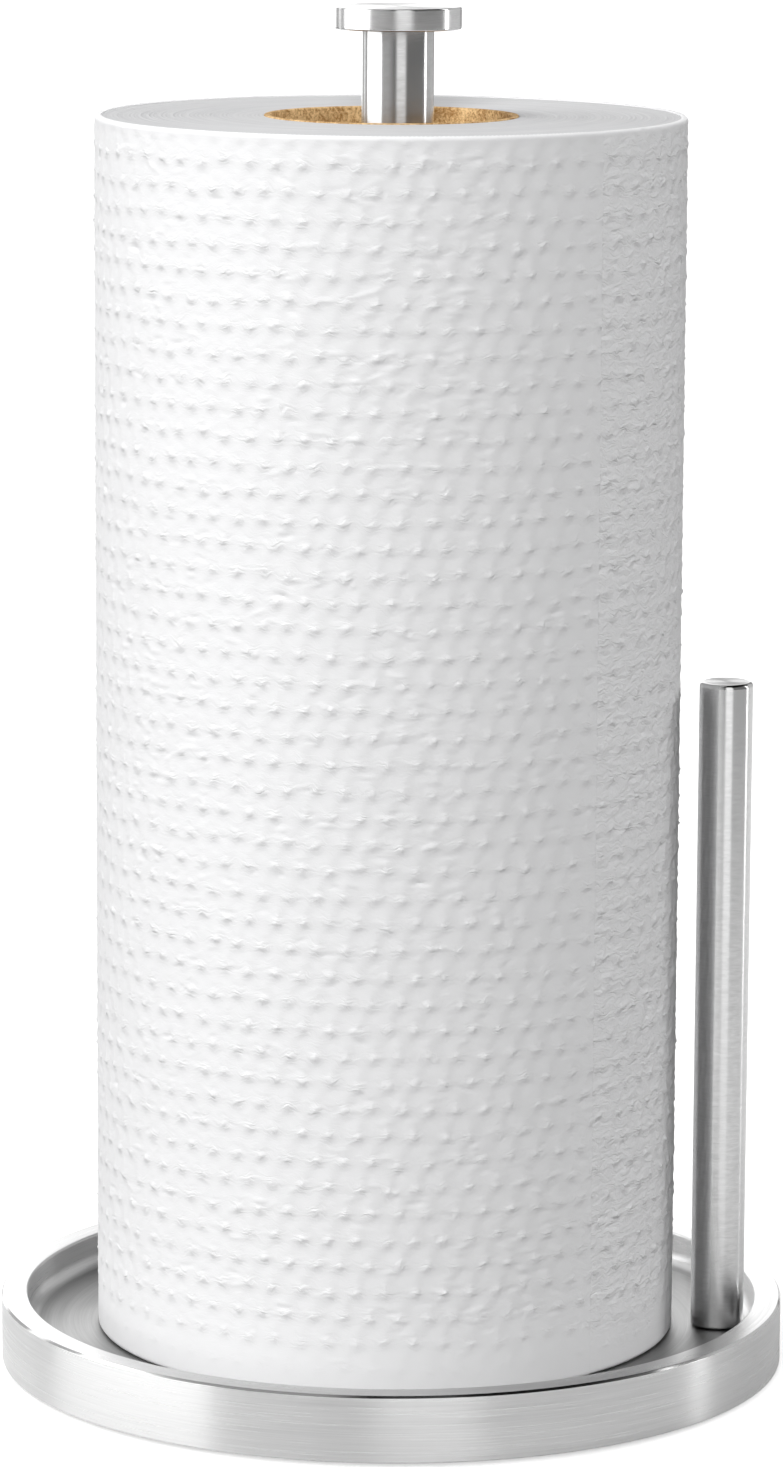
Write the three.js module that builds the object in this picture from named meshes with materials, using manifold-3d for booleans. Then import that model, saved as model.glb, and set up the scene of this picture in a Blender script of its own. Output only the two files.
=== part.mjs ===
// Paper towel holder: a weighted round tray, a screwed-on centre post with a disc knob, a short
// side rod beside the roll, and the roll of towels that stands in the tray around the post.
// Millimetres, +Z up. The origin is on the table plane, on the centre post's axis.

import * as THREE from "three";
import { mergeVertices } from "three/addons/utils/BufferGeometryUtils.js";
import Module from "manifold-3d";

const wasm = await Module();
wasm.setup();

// Driving dimensions
const OVERALL_HEIGHT = 311.1;
const STAND_OFF = 1.2; // the rubber pad holds the metal this far off the table
const SEAT_GAP = 0.05; // between two faces that bear on each other
const ROLL_SEAT_GAP = 0.3; // under the roll, which stands loose in the tray

const BASE_RADIUS = 90;
const BASE_HEIGHT = 15.2; // metal only, from its lower edge to the top of the rim
const RIM_WIDTH = 6; // across the flat top of the rim
const RIM_OUTER_ROUND = 1.2;
const RIM_INNER_ROUND = 0.8;
const TRAY_DEPTH = 7.44; // from the top of the rim down to the tray floor
const TRAY_FILLET = 3;
const SHEET = 1; // thickness of the base shell's steel sheet

const PAD_RADIUS = 86;
const PAD_THICKNESS = 2;
const COVER_RADIUS = 88.5;
const COVER_THICKNESS = 0.8;
const WEIGHT_RADIUS = 88.5;
const WEB = 1.6; // steel left above the two counterbores in the weight

const POST_RADIUS = 8.1;
const POST_WALL = 1.2;
const FOOT_PLUG_LENGTH = 20;
const TOP_PLUG_LENGTH = 16;
const PLUG_FIT = 0.05; // radial, between a plug and the tube around it

const KNOB_RADIUS = 14.25;
const KNOB_HEIGHT = 5;
const KNOB_ROUND = 1;
const KNOB_HOLE_DEPTH = 3.5;
const STUD_LENGTH = 13;
const STUD_IN_KNOB = 3.25;

const ROD_RADIUS = 6.1;
const ROD_HEIGHT = 150.5; // from the tray floor
const ROD_ROUND = 1;
const ROD_PLACE = { x: 75.3, y: -3.6 };

const ROLL_RADIUS = 66.56;
const ROLL_HEIGHT = 277.7;
const ROLL_ROUND = 1.2;
const ROLL_SHIFT = -1.33; // the loose roll stands this far off the post's axis, along X
const CORE_RADIUS = 28.5;
const CORE_WALL = 1.5;
const GLUE_GAP = 0.1; // between the core and the first turn of paper

const THREAD_FIT = 0.05; // radial, between a screw's shank and its tapped hole
const TAPPED_DEPTH = 12;
const COVER_SCREWS = 3;
const COVER_SCREW_CIRCLE = 40; // radius of the circle that they stand on

// Each fastening up through the base is a button-head screw with a spring and a flat washer.
const POST_FASTENING = {
  name: "post", shank: 3, hole: 3.3, head: 5.25, headHeight: 3.2, socket: 2.3, length: 14,
  flatWasher: 6, springWasher: 5.5, counterbore: 7.5, coverHole: 8, padHole: 8.5,
  x: 0, y: 0,
};
const ROD_FASTENING = {
  name: "rod", shank: 2.5, hole: 2.75, head: 4.75, headHeight: 2.75, socket: 1.7, length: 14,
  flatWasher: 5, springWasher: 4.6, counterbore: 6.5, coverHole: 7, padHole: 7.5,
  x: ROD_PLACE.x, y: ROD_PLACE.y,
};
const COVER_FASTENING = {
  shank: 2, hole: 2.2, head: 4, headHeight: 1.3, socket: 1.2, length: 4.4, padHole: 5,
};
const FLAT_WASHER_THICKNESS = 1;
const SPRING_WASHER_THICKNESS = 1.3;
const SPRING_WASHER_SLIT = 1.2;

// Facets around a round part
const BIG = 72;
const MIDDLE = 40;
const SMALL = 24;
const ROUND_STEPS = 3; // facets along a rounded edge

// Heights above the table
const RIM_TOP = STAND_OFF + BASE_HEIGHT;
const TRAY_FLOOR = RIM_TOP - TRAY_DEPTH;
const FLOOR_UNDERSIDE = TRAY_FLOOR - SHEET;
const COVER_BOTTOM = PAD_THICKNESS + SEAT_GAP;
const WEIGHT_BOTTOM = COVER_BOTTOM + COVER_THICKNESS + SEAT_GAP;
const WEIGHT_TOP = FLOOR_UNDERSIDE - SEAT_GAP;
const WEB_BOTTOM = WEIGHT_TOP - WEB;
const KNOB_BOTTOM = OVERALL_HEIGHT - KNOB_HEIGHT;
const POST_BOTTOM = TRAY_FLOOR + SEAT_GAP;
const POST_LENGTH = KNOB_BOTTOM - SEAT_GAP - POST_BOTTOM;

const FINISH = {
  brushedSteel: { color: 0xc4c6c8, roughness: 0.32, metalness: 1 },
  plainSteel: { color: 0x8f9193, roughness: 0.5, metalness: 1 },
  zincSteel: { color: 0xb4b6b4, roughness: 0.4, metalness: 1 },
  rubber: { color: 0x1d1e1f, roughness: 0.9, metalness: 0 },
  cardboard: { color: 0xae8554, roughness: 0.9, metalness: 0 },
  tissue: { color: 0xf6f5f2, roughness: 0.95, metalness: 0 },
};

// ---- Geometry helpers ----

// The points of an outline through corners [radius, height, round], each corner with an arc of
// its own round, or sharp where it gives none.
function rounded(corners) {
  return corners.flatMap(([radius, height, round = 0], i) => {
    const corner = new THREE.Vector2(radius, height);
    if (!round) return [corner];
    const [before, after] = [corners.at(i - 1), corners[(i + 1) % corners.length]].map(
      ([r, z]) => new THREE.Vector2(r, z).sub(corner).normalize(),
    );
    const half = Math.acos(before.dot(after)) / 2;
    const middle = before.clone().add(after).normalize();
    const centre = middle.multiplyScalar(round / Math.sin(half)).add(corner);
    const start = before.clone().multiplyScalar(round / Math.tan(half)).add(corner);
    const turn = Math.sign(before.cross(after)) * -(Math.PI - 2 * half);
    return Array.from({ length: ROUND_STEPS + 1 }, (_, k) =>
      start.clone().rotateAround(centre, (turn * k) / ROUND_STEPS),
    );
  });
}

// A turned piece about Z. Its outline runs counter-clockwise with radius to the right and height
// up: from the axis back to the axis on a solid piece, or closed on itself on a ring.
function turned(corners, facets) {
  const outline = rounded(corners);
  if (outline[0].x > 0) outline.push(outline[0].clone());
  return new THREE.LatheGeometry(outline, facets).rotateX(Math.PI / 2);
}

// A plain upright rod from one height to another, about (x, y).
function upright(radius, low, high, { x = 0, y = 0 } = {}, facets = SMALL) {
  return new THREE.CylinderGeometry(radius, radius, high - low, facets)
    .rotateX(Math.PI / 2)
    .translate(x, y, (low + high) / 2);
}

// A flat ring from one height to another.
function ring(inner, outer, low, high, facets) {
  return turned([[inner, low], [outer, low], [outer, high], [inner, high]], facets);
}

function solid(geometry) {
  const bare = geometry.clone();
  bare.deleteAttribute("normal");
  bare.deleteAttribute("uv");
  const merged = mergeVertices(bare, 1e-4);
  return new wasm.Manifold(
    new wasm.Mesh({
      numProp: 3,
      vertProperties: merged.attributes.position.array,
      triVerts: new Uint32Array(merged.index.array),
    }),
  );
}

// The geometry with each tool's shape cut out of it.
function cut(geometry, ...tools) {
  const left = tools.reduce((rest, tool) => rest.subtract(solid(tool)), solid(geometry));
  const { vertProperties, triVerts } = left.getMesh();
  const result = new THREE.BufferGeometry();
  result.setAttribute("position", new THREE.BufferAttribute(vertProperties, 3));
  result.setIndex(new THREE.BufferAttribute(triVerts, 1));
  result.computeVertexNormals();
  return result;
}

function piece(name, geometry, finish) {
  const mesh = new THREE.Mesh(geometry, new THREE.MeshStandardMaterial(FINISH[finish]));
  mesh.name = name;
  return mesh;
}

function groupOf(pieces, { x = 0, y = 0, z = 0 } = {}) {
  const group = new THREE.Group();
  group.position.set(x, y, z);
  group.add(...pieces);
  return group;
}

// ---- Fasteners ----

// A button-head screw with its head down and a hexagon socket in it. Its bearing face is at z = 0.
function screw({ shank, head, headHeight, socket, length }) {
  const bevel = shank / 5;
  const body = turned(
    [
      [0, -headHeight],
      [head, -headHeight, headHeight * 0.5],
      [head, 0],
      [shank, 0],
      [shank, length - bevel],
      [shank - bevel, length],
      [0, length],
    ],
    SMALL,
  );
  const mouth = -headHeight - 1;
  return cut(body, upright(socket, mouth, -headHeight * 0.4, {}, 6));
}

function springWasher(inner, outer) {
  const slit = new THREE.BoxGeometry(outer * 2, SPRING_WASHER_SLIT, SPRING_WASHER_THICKNESS * 4);
  slit.rotateX(Math.PI / 9).translate(outer, 0, SPRING_WASHER_THICKNESS / 2);
  return cut(ring(inner, outer, 0, SPRING_WASHER_THICKNESS, SMALL), slit);
}

// Screw, spring washer and flat washer, stacked up against the web over their counterbore.
function fastening(spec) {
  const { name, shank, flatWasher, x, y } = spec;
  const bore = shank + 0.15;
  const flat = ring(bore, flatWasher, 0, FLAT_WASHER_THICKNESS, SMALL);
  const stack = [
    piece(`${name}_flat_washer`, flat, "zincSteel"),
    piece(`${name}_spring_washer`, springWasher(bore, spec.springWasher), "zincSteel"),
    piece(`${name}_screw`, screw(spec), "zincSteel"),
  ];
  const drops = [FLAT_WASHER_THICKNESS, SPRING_WASHER_THICKNESS, 0];
  let height = WEB_BOTTOM;
  stack.forEach((mesh, i) => {
    height -= drops[i] + SEAT_GAP;
    mesh.position.z = height;
  });
  return groupOf(stack, { x, y });
}

// ---- The base ----

function coverScrewPlaces() {
  return Array.from({ length: COVER_SCREWS }, (_, i) => {
    const angle = Math.PI / 2 + (i * 2 * Math.PI) / COVER_SCREWS;
    return { x: COVER_SCREW_CIRCLE * Math.cos(angle), y: COVER_SCREW_CIRCLE * Math.sin(angle) };
  });
}

// One drawn sheet: a tray floor, a wall up to a flat rim, and a skirt outside it. The hollow
// under the rim is open below.
function baseShell() {
  const wall = BASE_RADIUS - RIM_WIDTH;
  const sheet = turned(
    [
      [POST_FASTENING.hole, FLOOR_UNDERSIDE],
      [wall + SHEET, FLOOR_UNDERSIDE, TRAY_FILLET + SHEET],
      [wall + SHEET, RIM_TOP - SHEET],
      [BASE_RADIUS - SHEET, RIM_TOP - SHEET],
      [BASE_RADIUS - SHEET, STAND_OFF],
      [BASE_RADIUS, STAND_OFF],
      [BASE_RADIUS, RIM_TOP, RIM_OUTER_ROUND],
      [wall, RIM_TOP, RIM_INNER_ROUND],
      [wall, TRAY_FLOOR, TRAY_FILLET],
      [POST_FASTENING.hole, TRAY_FLOOR],
    ],
    BIG,
  );
  return cut(sheet, upright(ROD_FASTENING.hole, 0, RIM_TOP, ROD_PLACE));
}

// A thick steel disc under the tray floor, counterbored for the two fastenings and tapped for
// the cover's screws.
function baseWeight() {
  const fastenings = [POST_FASTENING, ROD_FASTENING];
  return cut(
    upright(WEIGHT_RADIUS, WEIGHT_BOTTOM, WEIGHT_TOP, {}, BIG),
    ...fastenings.map((f) => upright(f.hole, 0, RIM_TOP, f)),
    ...fastenings.map((f) => upright(f.counterbore, 0, WEB_BOTTOM, f, MIDDLE)),
    ...coverScrewPlaces().map((place) =>
      upright(COVER_FASTENING.shank + THREAD_FIT, 0, WEIGHT_TOP - 1, place),
    ),
  );
}

function baseCover() {
  return cut(
    upright(COVER_RADIUS, COVER_BOTTOM, COVER_BOTTOM + COVER_THICKNESS, {}, BIG),
    ...[POST_FASTENING, ROD_FASTENING].map((f) => upright(f.coverHole, 0, RIM_TOP, f, MIDDLE)),
    ...coverScrewPlaces().map((place) => upright(COVER_FASTENING.hole, 0, RIM_TOP, place)),
  );
}

function nonslipPad() {
  const edge = 0.4;
  const disc = turned(
    [
      [0, 0],
      [PAD_RADIUS - edge, 0],
      [PAD_RADIUS, edge],
      [PAD_RADIUS, PAD_THICKNESS],
      [0, PAD_THICKNESS],
    ],
    BIG,
  );
  return cut(
    disc,
    ...[POST_FASTENING, ROD_FASTENING].map((f) => upright(f.padHole, -1, RIM_TOP, f, MIDDLE)),
    ...coverScrewPlaces().map((place) => upright(COVER_FASTENING.padHole, -1, RIM_TOP, place)),
  );
}

function base() {
  const coverScrews = coverScrewPlaces().map(({ x, y }, i) => {
    const mesh = piece(`cover_screw_${i + 1}`, screw(COVER_FASTENING), "zincSteel");
    mesh.position.set(x, y, COVER_BOTTOM - SEAT_GAP);
    return mesh;
  });
  return groupOf([
    piece("base_shell", baseShell(), "brushedSteel"),
    piece("base_weight", baseWeight(), "plainSteel"),
    piece("base_cover", baseCover(), "zincSteel"),
    piece("nonslip_pad", nonslipPad(), "rubber"),
    ...coverScrews,
    fastening(POST_FASTENING),
    fastening(ROD_FASTENING),
  ]);
}

// ---- The centre post, in a frame whose z = 0 is the tube's lower end ----

// A slug that closes one end of the tube, with a tapped blind hole from its outer end.
function plug(low, high, holeLow, holeHigh) {
  const slug = upright(POST_RADIUS - POST_WALL - PLUG_FIT, low, high, {}, MIDDLE);
  return cut(slug, upright(POST_FASTENING.shank + THREAD_FIT, holeLow, holeHigh));
}

function knob() {
  const disc = turned(
    [
      [0, 0],
      [KNOB_RADIUS, 0, KNOB_ROUND],
      [KNOB_RADIUS, KNOB_HEIGHT, KNOB_ROUND],
      [0, KNOB_HEIGHT],
    ],
    MIDDLE,
  );
  return cut(disc, upright(POST_FASTENING.shank + THREAD_FIT, -1, KNOB_HOLE_DEPTH));
}

function knobStud() {
  const radius = POST_FASTENING.shank;
  const bevel = radius / 5;
  return turned(
    [
      [0, 0],
      [radius - bevel, 0],
      [radius, bevel],
      [radius, STUD_LENGTH - bevel],
      [radius - bevel, STUD_LENGTH],
      [0, STUD_LENGTH],
    ],
    SMALL,
  );
}

function post() {
  const tube = ring(POST_RADIUS - POST_WALL, POST_RADIUS, 0, POST_LENGTH, MIDDLE);
  const footPlug = plug(0, FOOT_PLUG_LENGTH, -1, TAPPED_DEPTH);
  const topPlug = plug(
    POST_LENGTH - TOP_PLUG_LENGTH,
    POST_LENGTH,
    POST_LENGTH - TAPPED_DEPTH,
    POST_LENGTH + 1,
  );
  const cap = piece("knob", knob(), "brushedSteel");
  cap.position.z = POST_LENGTH + SEAT_GAP;
  const stud = piece("knob_stud", knobStud(), "zincSteel");
  stud.position.z = cap.position.z + STUD_IN_KNOB - STUD_LENGTH;
  const pieces = [
    piece("post_tube", tube, "brushedSteel"),
    piece("post_foot_plug", footPlug, "plainSteel"),
    piece("post_top_plug", topPlug, "plainSteel"),
    cap,
    stud,
  ];
  return groupOf(pieces, { z: POST_BOTTOM });
}

// ---- The side rod, a solid bar with a tapped foot ----

function sideRod() {
  const footBevel = 0.6;
  const bar = turned(
    [
      [0, 0],
      [ROD_RADIUS - footBevel, 0],
      [ROD_RADIUS, footBevel],
      [ROD_RADIUS, ROD_HEIGHT - SEAT_GAP, ROD_ROUND],
      [0, ROD_HEIGHT - SEAT_GAP],
    ],
    MIDDLE,
  );
  const drilled = cut(bar, upright(ROD_FASTENING.shank + THREAD_FIT, -1, TAPPED_DEPTH));
  return groupOf([piece("side_rod", drilled, "brushedSteel")], { ...ROD_PLACE, z: POST_BOTTOM });
}

// ---- The roll: a cardboard core and the paper wound on it ----

function roll() {
  const core = ring(CORE_RADIUS - CORE_WALL, CORE_RADIUS, 0, ROLL_HEIGHT, BIG);
  const bore = CORE_RADIUS + GLUE_GAP;
  const paper = turned(
    [
      [bore, 0],
      [ROLL_RADIUS, 0, ROLL_ROUND],
      [ROLL_RADIUS, ROLL_HEIGHT, ROLL_ROUND],
      [bore, ROLL_HEIGHT],
    ],
    BIG,
  );
  const pieces = [piece("cardboard_core", core, "cardboard"), piece("paper_roll", paper, "tissue")];
  return groupOf(pieces, { x: ROLL_SHIFT, z: TRAY_FLOOR + ROLL_SEAT_GAP });
}

export default groupOf([base(), post(), sideRod(), roll()]);
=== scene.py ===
"""The looks of the paper towel holder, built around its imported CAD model.

Metres, +Z up, the table plane at z = 0 and the centre post on the Z axis. The camera stands on
the -Y side. Every visible round piece is turned again at a finer pitch than the CAD solid that
it stands for, and the roll's outer turns are embossed in the mesh itself.
"""

import math

import bpy
import numpy as np
from mathutils import Matrix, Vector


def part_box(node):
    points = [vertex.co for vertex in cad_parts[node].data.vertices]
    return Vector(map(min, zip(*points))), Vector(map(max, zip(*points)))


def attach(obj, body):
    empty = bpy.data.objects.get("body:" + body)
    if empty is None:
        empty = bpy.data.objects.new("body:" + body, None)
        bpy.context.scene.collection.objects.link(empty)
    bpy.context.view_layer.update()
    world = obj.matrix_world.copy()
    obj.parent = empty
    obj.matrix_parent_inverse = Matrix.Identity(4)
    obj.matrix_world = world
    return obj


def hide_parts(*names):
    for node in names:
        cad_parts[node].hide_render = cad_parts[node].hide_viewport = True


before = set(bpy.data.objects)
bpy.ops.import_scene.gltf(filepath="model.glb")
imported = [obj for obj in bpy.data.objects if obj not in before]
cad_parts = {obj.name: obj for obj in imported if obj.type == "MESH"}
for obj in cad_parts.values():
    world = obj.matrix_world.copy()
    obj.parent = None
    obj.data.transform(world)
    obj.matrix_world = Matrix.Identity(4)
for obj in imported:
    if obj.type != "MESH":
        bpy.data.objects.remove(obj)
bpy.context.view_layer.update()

MM = 0.001

# ---- Places, read from the frame ----

SHELL_LOW, SHELL_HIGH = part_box("base_shell")
POST_LOW, POST_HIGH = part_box("post_tube")
KNOB_LOW, KNOB_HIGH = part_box("knob")
ROD_LOW, ROD_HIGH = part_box("side_rod")
ROLL_LOW, ROLL_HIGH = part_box("paper_roll")
CORE_LOW, CORE_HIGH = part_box("cardboard_core")
PAD_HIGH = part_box("nonslip_pad")[1]

BASE_RADIUS = SHELL_HIGH.x
RIM_TOP = SHELL_HIGH.z
TRAY_FLOOR = POST_LOW.z - 0.05 * MM  # the post stands on the floor with this gap
RIM_WIDTH = 6 * MM
SHEET = 1 * MM  # thickness of the tray's steel
BEVEL = 0.45 * MM  # of the rim's outer edge
POST_SCREW_HOLE = 3.3 * MM  # radius of the hole in the tray under the post

ROLL_CENTRE = ((ROLL_LOW.x + ROLL_HIGH.x) / 2, (ROLL_LOW.y + ROLL_HIGH.y) / 2)
ROLL_RADIUS = (ROLL_HIGH.x - ROLL_LOW.x) / 2
CORE_RADIUS = (CORE_HIGH.x - CORE_LOW.x) / 2
CORE_WALL = 1.5 * MM
ROD_CENTRE = ((ROD_LOW.x + ROD_HIGH.x) / 2, (ROD_LOW.y + ROD_HIGH.y) / 2)
ROD_RADIUS = (ROD_HIGH.x - ROD_LOW.x) / 2

# ---- Camera ----

# Fitted to the tray, roll, post, knob and rod as a pinhole camera sees them.
CAMERA_PLACE = (-1.53 * MM, -1329.1 * MM, 381.1 * MM)
CAMERA_DOWN = 0.17481  # radians below the horizon
CAMERA_TURN = 0.0007  # towards +X
CAMERA_ROLL = 0.0054
LENS_MM = 145.4
SENSOR_MM = 36


def make_camera():
    data = bpy.data.cameras.new("camera")
    data.lens = LENS_MM
    data.sensor_width = SENSOR_MM
    data.clip_start = 0.05
    data.clip_end = 50
    camera = bpy.data.objects.new("camera", data)
    bpy.context.scene.collection.objects.link(camera)
    camera.matrix_world = (
        Matrix.Translation(CAMERA_PLACE)
        @ Matrix.Rotation(-CAMERA_TURN, 4, "Z")
        @ Matrix.Rotation(math.pi / 2 - CAMERA_DOWN, 4, "X")
        @ Matrix.Rotation(CAMERA_ROLL, 4, "Z")
    )
    bpy.context.scene.camera = camera


# ---- Node graphs ----


class Graph:
    """Adds nodes to a tree. An input is a constant or another node's output socket."""

    def __init__(self, tree):
        self.tree = tree
        tree.nodes.clear()

    def node(self, kind, inputs=None, **settings):
        made = self.tree.nodes.new(kind)
        for name, value in settings.items():
            setattr(made, name, value)
        for key, value in (inputs or {}).items():
            if isinstance(value, bpy.types.NodeSocket):
                self.tree.links.new(value, made.inputs[key])
            else:
                made.inputs[key].default_value = value
        return made

    def math(self, operation, *values, clamp=False):
        inputs = dict(enumerate(values))
        return self.node("ShaderNodeMath", inputs, operation=operation, use_clamp=clamp).outputs[0]

    def vector(self, operation, *values):
        made = self.node("ShaderNodeVectorMath", dict(enumerate(values)), operation=operation)
        return made.outputs[1 if operation in ("LENGTH", "DOT_PRODUCT") else 0]

    def scale(self, vector, factor):
        inputs = {"Vector": vector, "Scale": factor}
        return self.node("ShaderNodeVectorMath", inputs, operation="SCALE").outputs[0]

    def combine(self, x, y, z):
        return self.node("ShaderNodeCombineXYZ", {0: x, 1: y, 2: z}).outputs[0]

    def separate(self, vector):
        return self.node("ShaderNodeSeparateXYZ", {0: vector}).outputs

    def smooth(self, value, low, high, out_low=0.0, out_high=1.0):
        """value from low to high, as a smooth step from out_low to out_high."""
        inputs = {0: value, 1: low, 2: high, 3: out_low, 4: out_high}
        made = self.node("ShaderNodeMapRange", inputs, interpolation_type="SMOOTHSTEP")
        return made.outputs[0]

    def linear(self, value, low, high, out_low=0.0, out_high=1.0):
        return self.node(
            "ShaderNodeMapRange", {0: value, 1: low, 2: high, 3: out_low, 4: out_high}
        ).outputs[0]

    def noise(self, vector, scale, detail=2.0, roughness=0.5, w=None):
        inputs = {"Vector": vector, "Scale": scale, "Detail": detail, "Roughness": roughness}
        if w is None:
            return self.node("ShaderNodeTexNoise", inputs).outputs[0]
        inputs["W"] = w
        return self.node("ShaderNodeTexNoise", inputs, noise_dimensions="4D").outputs[0]


def mixed(graph, factor, low, high):
    """The colour between low and high at factor."""
    made = graph.node("ShaderNodeMix", data_type="RGBA")
    for key, value in ((0, factor), (6, low), (7, high)):
        if isinstance(value, bpy.types.NodeSocket):
            graph.tree.links.new(value, made.inputs[key])
        elif key == 0:
            made.inputs[key].default_value = value
        else:
            made.inputs[key].default_value = (*value, 1)
    return made.outputs[2]


def material(name, build, **constants):
    """A Principled material: build(graph) gives its linked inputs, constants its fixed ones."""
    made = bpy.data.materials.new(name)
    made.use_nodes = True
    graph = Graph(made.node_tree)
    inputs = {key.replace("_", " ").title().replace("Ior", "IOR"): v for key, v in constants.items()}
    inputs.update(build(graph))
    shader = graph.node("ShaderNodeBsdfPrincipled", inputs)
    graph.node("ShaderNodeOutputMaterial", {0: shader.outputs[0]})
    return made


def bump(graph, height, distance, strength=1.0):
    inputs = {"Height": height, "Distance": distance, "Strength": strength}
    return graph.node("ShaderNodeBump", inputs).outputs[0]


# ---- Materials ----


def around(graph, centre):
    """Position about a vertical axis: distance from it, height, and the unit direction's x and y."""
    place = graph.node("ShaderNodeTexCoord").outputs["Object"]
    offset = graph.vector("SUBTRACT", place, (centre[0], centre[1], 0))
    x, y, z = graph.separate(offset)
    flat = graph.combine(x, y, 0)
    radius = graph.vector("LENGTH", flat)
    direction = graph.separate(graph.vector("NORMALIZE", flat))
    return radius, z, direction[0], direction[1]


USUAL = (0.3, 0.7)  # most of a noise's values lie between these
STEEL_DARK, STEEL_LIGHT = 0.666, 0.8  # base colour in and between the brushed lines
BRUSH = 5200  # fine brushed lines: noise scale across them, per metre
BRUSH_ROUND = 3.5  # the same on the way round the piece, for a unit direction
BANDS = (0.22, 0.22, 0.6)  # scale of the broad bands beside the fine lines
BANDS_ROUND = 2.1
LINE_SHARE = 0.65  # of the fine lines in the finish: the rest is bands
LINE_DEPTH = 0.004 * MM
FINISH_EDGE = 2 * MM  # width over which the brushed finish becomes satin
SATIN_ROUGHER = 0.08
SATIN_PAINTED_SHADE = 0.46  # painted shade: how far the colour is darkened where the finish turns satin, on the tray's floor and the rod's ends
POLISH = 0.35  # how rough a polished bevel is beside the brushed finish
BLEND = 0.08 * MM  # width over which the brushed finish becomes polished


def stainless(name, centre, roughness, grain, painted_light, satin=None, bevel=None):
    """Stainless steel brushed around a vertical axis: fine lines that run round the piece.
    grain is the depth of its lines and shine scales its colour, both 1 for the base; shine is
    painted light, the same steel made lighter or darker on each piece.
    Inside the radius and below the height of satin, the finish is coarser, and its colour is
    darkened there as painted shade.
    Outside the radius of bevel, and below its first or above its second height, it is polished."""

    def build(graph):
        radius, height, across, along = around(graph, centre)
        fine = graph.combine(
            graph.math("MULTIPLY", radius, BRUSH),
            graph.math("MULTIPLY", height, BRUSH),
            graph.math("MULTIPLY", across, BRUSH_ROUND),
        )
        coarse = graph.vector("MULTIPLY", fine, BANDS)
        lines = graph.noise(fine, 1, 3, 0.6, w=graph.math("MULTIPLY", along, BRUSH_ROUND))
        bands = graph.noise(coarse, 1, 2, 0.5, w=graph.math("MULTIPLY", along, BANDS_ROUND))
        rest = graph.math("MULTIPLY", bands, 1 - LINE_SHARE)
        both = graph.math("MULTIPLY_ADD", lines, LINE_SHARE, rest)
        shade = graph.linear(both, *USUAL)
        # painted light: each piece's steel colour is scaled lighter or darker than the base's
        colour = mixed(graph, shade, (STEEL_DARK * painted_light,) * 3, (STEEL_LIGHT * painted_light,) * 3)
        rough = graph.linear(both, *USUAL, roughness * 1.2, roughness * 0.8)
        if satin:
            reach, top = satin
            inside = graph.smooth(radius, reach, reach + FINISH_EDGE, 1, 0)
            low = graph.smooth(height, top, top + FINISH_EDGE, 1, 0)
            inner = graph.math("MULTIPLY", inside, low)
            # painted shade: the colour is darkened inside that reach
            colour = mixed(graph, inner, colour, graph.scale(colour, SATIN_PAINTED_SHADE))
            rough = graph.math("MULTIPLY_ADD", inner, SATIN_ROUGHER, rough)
        if bevel:
            rim, low, high = bevel
            outside = graph.smooth(radius, rim, rim + BLEND)
            under = graph.smooth(height, low, low + BLEND, 1, 0)
            over = graph.smooth(height, high - BLEND, high)
            edge = graph.math("MULTIPLY", outside, graph.math("MAXIMUM", under, over))
            rough = graph.math("MULTIPLY", rough, graph.linear(edge, 0, 1, 1, POLISH))
        tangent = graph.node("ShaderNodeTangent", direction_type="RADIAL", axis="Z").outputs[0]
        return {
            "Base Color": colour,
            "Roughness": rough,
            "Normal": bump(graph, lines, LINE_DEPTH * grain, 1.0),
            "Tangent": tangent,
        }

    return material(name, build, metallic=1.0, anisotropic=0.95, anisotropic_rotation=0.25)


def tissue(name):
    """Soft white two-ply towel. Its UV map holds metres along the web and up the roll."""
    crease_scale = (360, 1150, 1)  # scales are per metre
    bend_scale = (300, 300, 1)
    fibre_scale = (1800, 5200, 1)
    cloud_scale = 60
    wander = 5  # how far the creases bend
    crease_depth = 0.45 * MM
    fibre_depth = 0.02 * MM

    def build(graph):
        place = graph.node("ShaderNodeUVMap", uv_map="web").outputs[0]
        strength = graph.node("ShaderNodeAttribute", attribute_name="crinkle").outputs["Fac"]
        flow = graph.vector("MULTIPLY", place, crease_scale)
        bend = graph.noise(graph.vector("MULTIPLY", place, bend_scale), 1, 2)
        flow = graph.vector("ADD", flow, graph.combine(0, graph.math("MULTIPLY", bend, wander), 0))
        creases = graph.noise(flow, 1, 3, 0.5)
        fibres = graph.noise(graph.vector("MULTIPLY", place, fibre_scale), 1, 3, 0.7)
        height = graph.math(
            "ADD",
            graph.math("MULTIPLY", graph.math("MULTIPLY", creases, strength), crease_depth),
            graph.math("MULTIPLY", fibres, fibre_depth),
        )
        cloud = graph.noise(place, cloud_scale, 2)
        return {
            "Base Color": mixed(graph, cloud, (0.885, 0.886, 0.892), (0.915, 0.916, 0.922)),
            "Normal": bump(graph, height, 1.0, 1.0),
        }

    return material(name, build, roughness=0.95, specular_ior_level=0.2, sheen_weight=0.15)


def tissue_ends(name):
    """The cut ends of the wound paper: fine rings and fibres, coloured darker than the web's white
    as painted shade.
    """
    ring_scale = 2600  # per metre of radius
    fibre_scale = 4200
    ring_depth = 0.05 * MM

    def build(graph):
        radius, height, across, along = around(graph, ROLL_CENTRE)
        turns = graph.combine(graph.math("MULTIPLY", radius, ring_scale), height, across)
        layers = graph.noise(turns, 1, 3, 0.65, w=along)
        shade = graph.linear(layers, 0.35, 0.65)
        place = graph.node("ShaderNodeTexCoord").outputs["Object"]
        fibres = graph.noise(place, fibre_scale, 2, 0.7)
        relief = graph.math("MULTIPLY_ADD", fibres, 0.3, layers)
        return {
            # painted shade: the ends are coloured grey, darker than the same paper's face
            "Base Color": mixed(graph, shade, (0.61, 0.61, 0.62), (0.68, 0.68, 0.685)),
            "Normal": bump(graph, relief, ring_depth, 0.8),
        }

    return material(name, build, roughness=0.95, specular_ior_level=0.2)


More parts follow.
